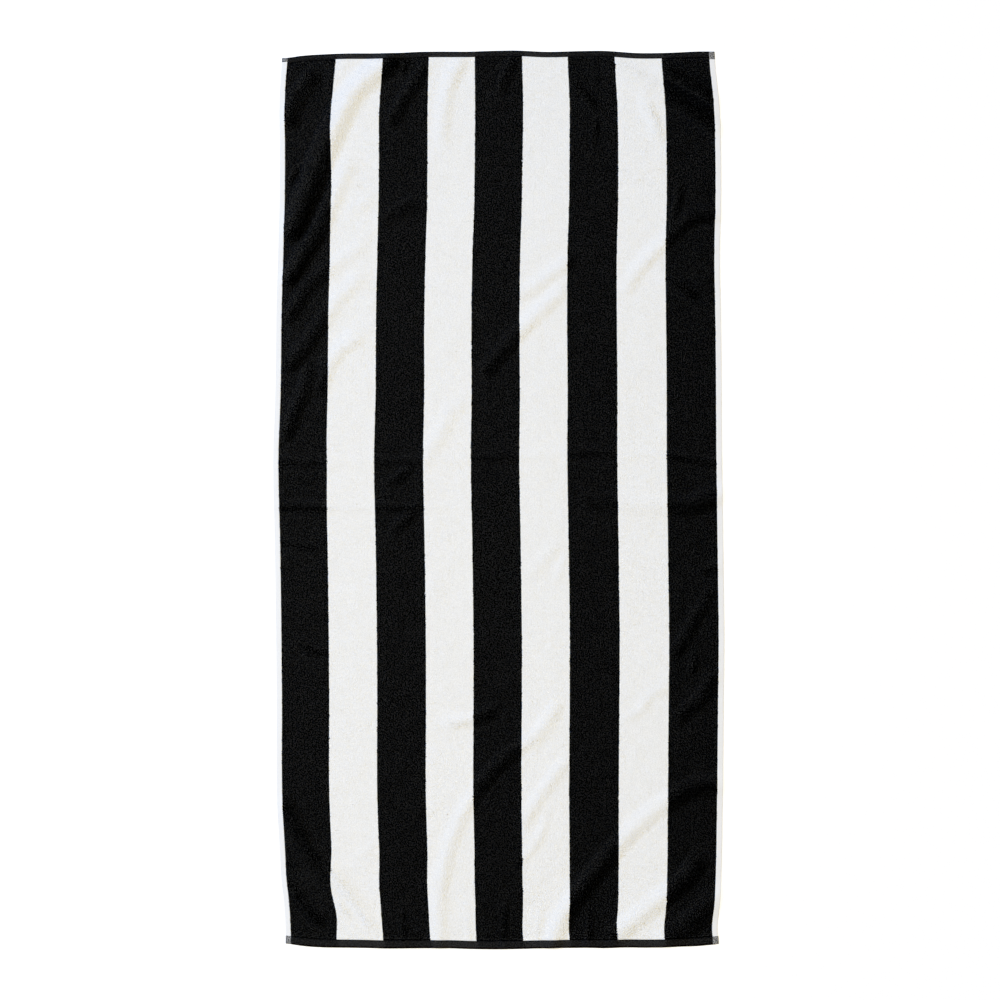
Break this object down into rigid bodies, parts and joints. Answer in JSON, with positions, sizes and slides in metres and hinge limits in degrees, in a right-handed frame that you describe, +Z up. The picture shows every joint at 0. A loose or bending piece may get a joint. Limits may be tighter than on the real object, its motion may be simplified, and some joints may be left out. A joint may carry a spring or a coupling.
{
  "type": "beach towel",
  "caption": "Rectangular terry beach towel with wide lengthwise black and white stripes and flat-woven hems, laid out with soft folds.",
  "frame": {"origin": "centre of the laid towel's outline, on the surface it lies on", "axes": "+Y along the stripes, towards the rolled top hem; +X across the stripes; +Z up, out of the cloth's face"},
  "size_m": [0.7639, 1.5202, 0.0122],
  "materials": {
    "terry": "matt looped cotton pile, five black and four white stripes along its length, with charcoal flat-woven end hems and white side hems"
  },
  "bodies": {
    "root": {"towel": "terry"}
  },
  "joints": []
}
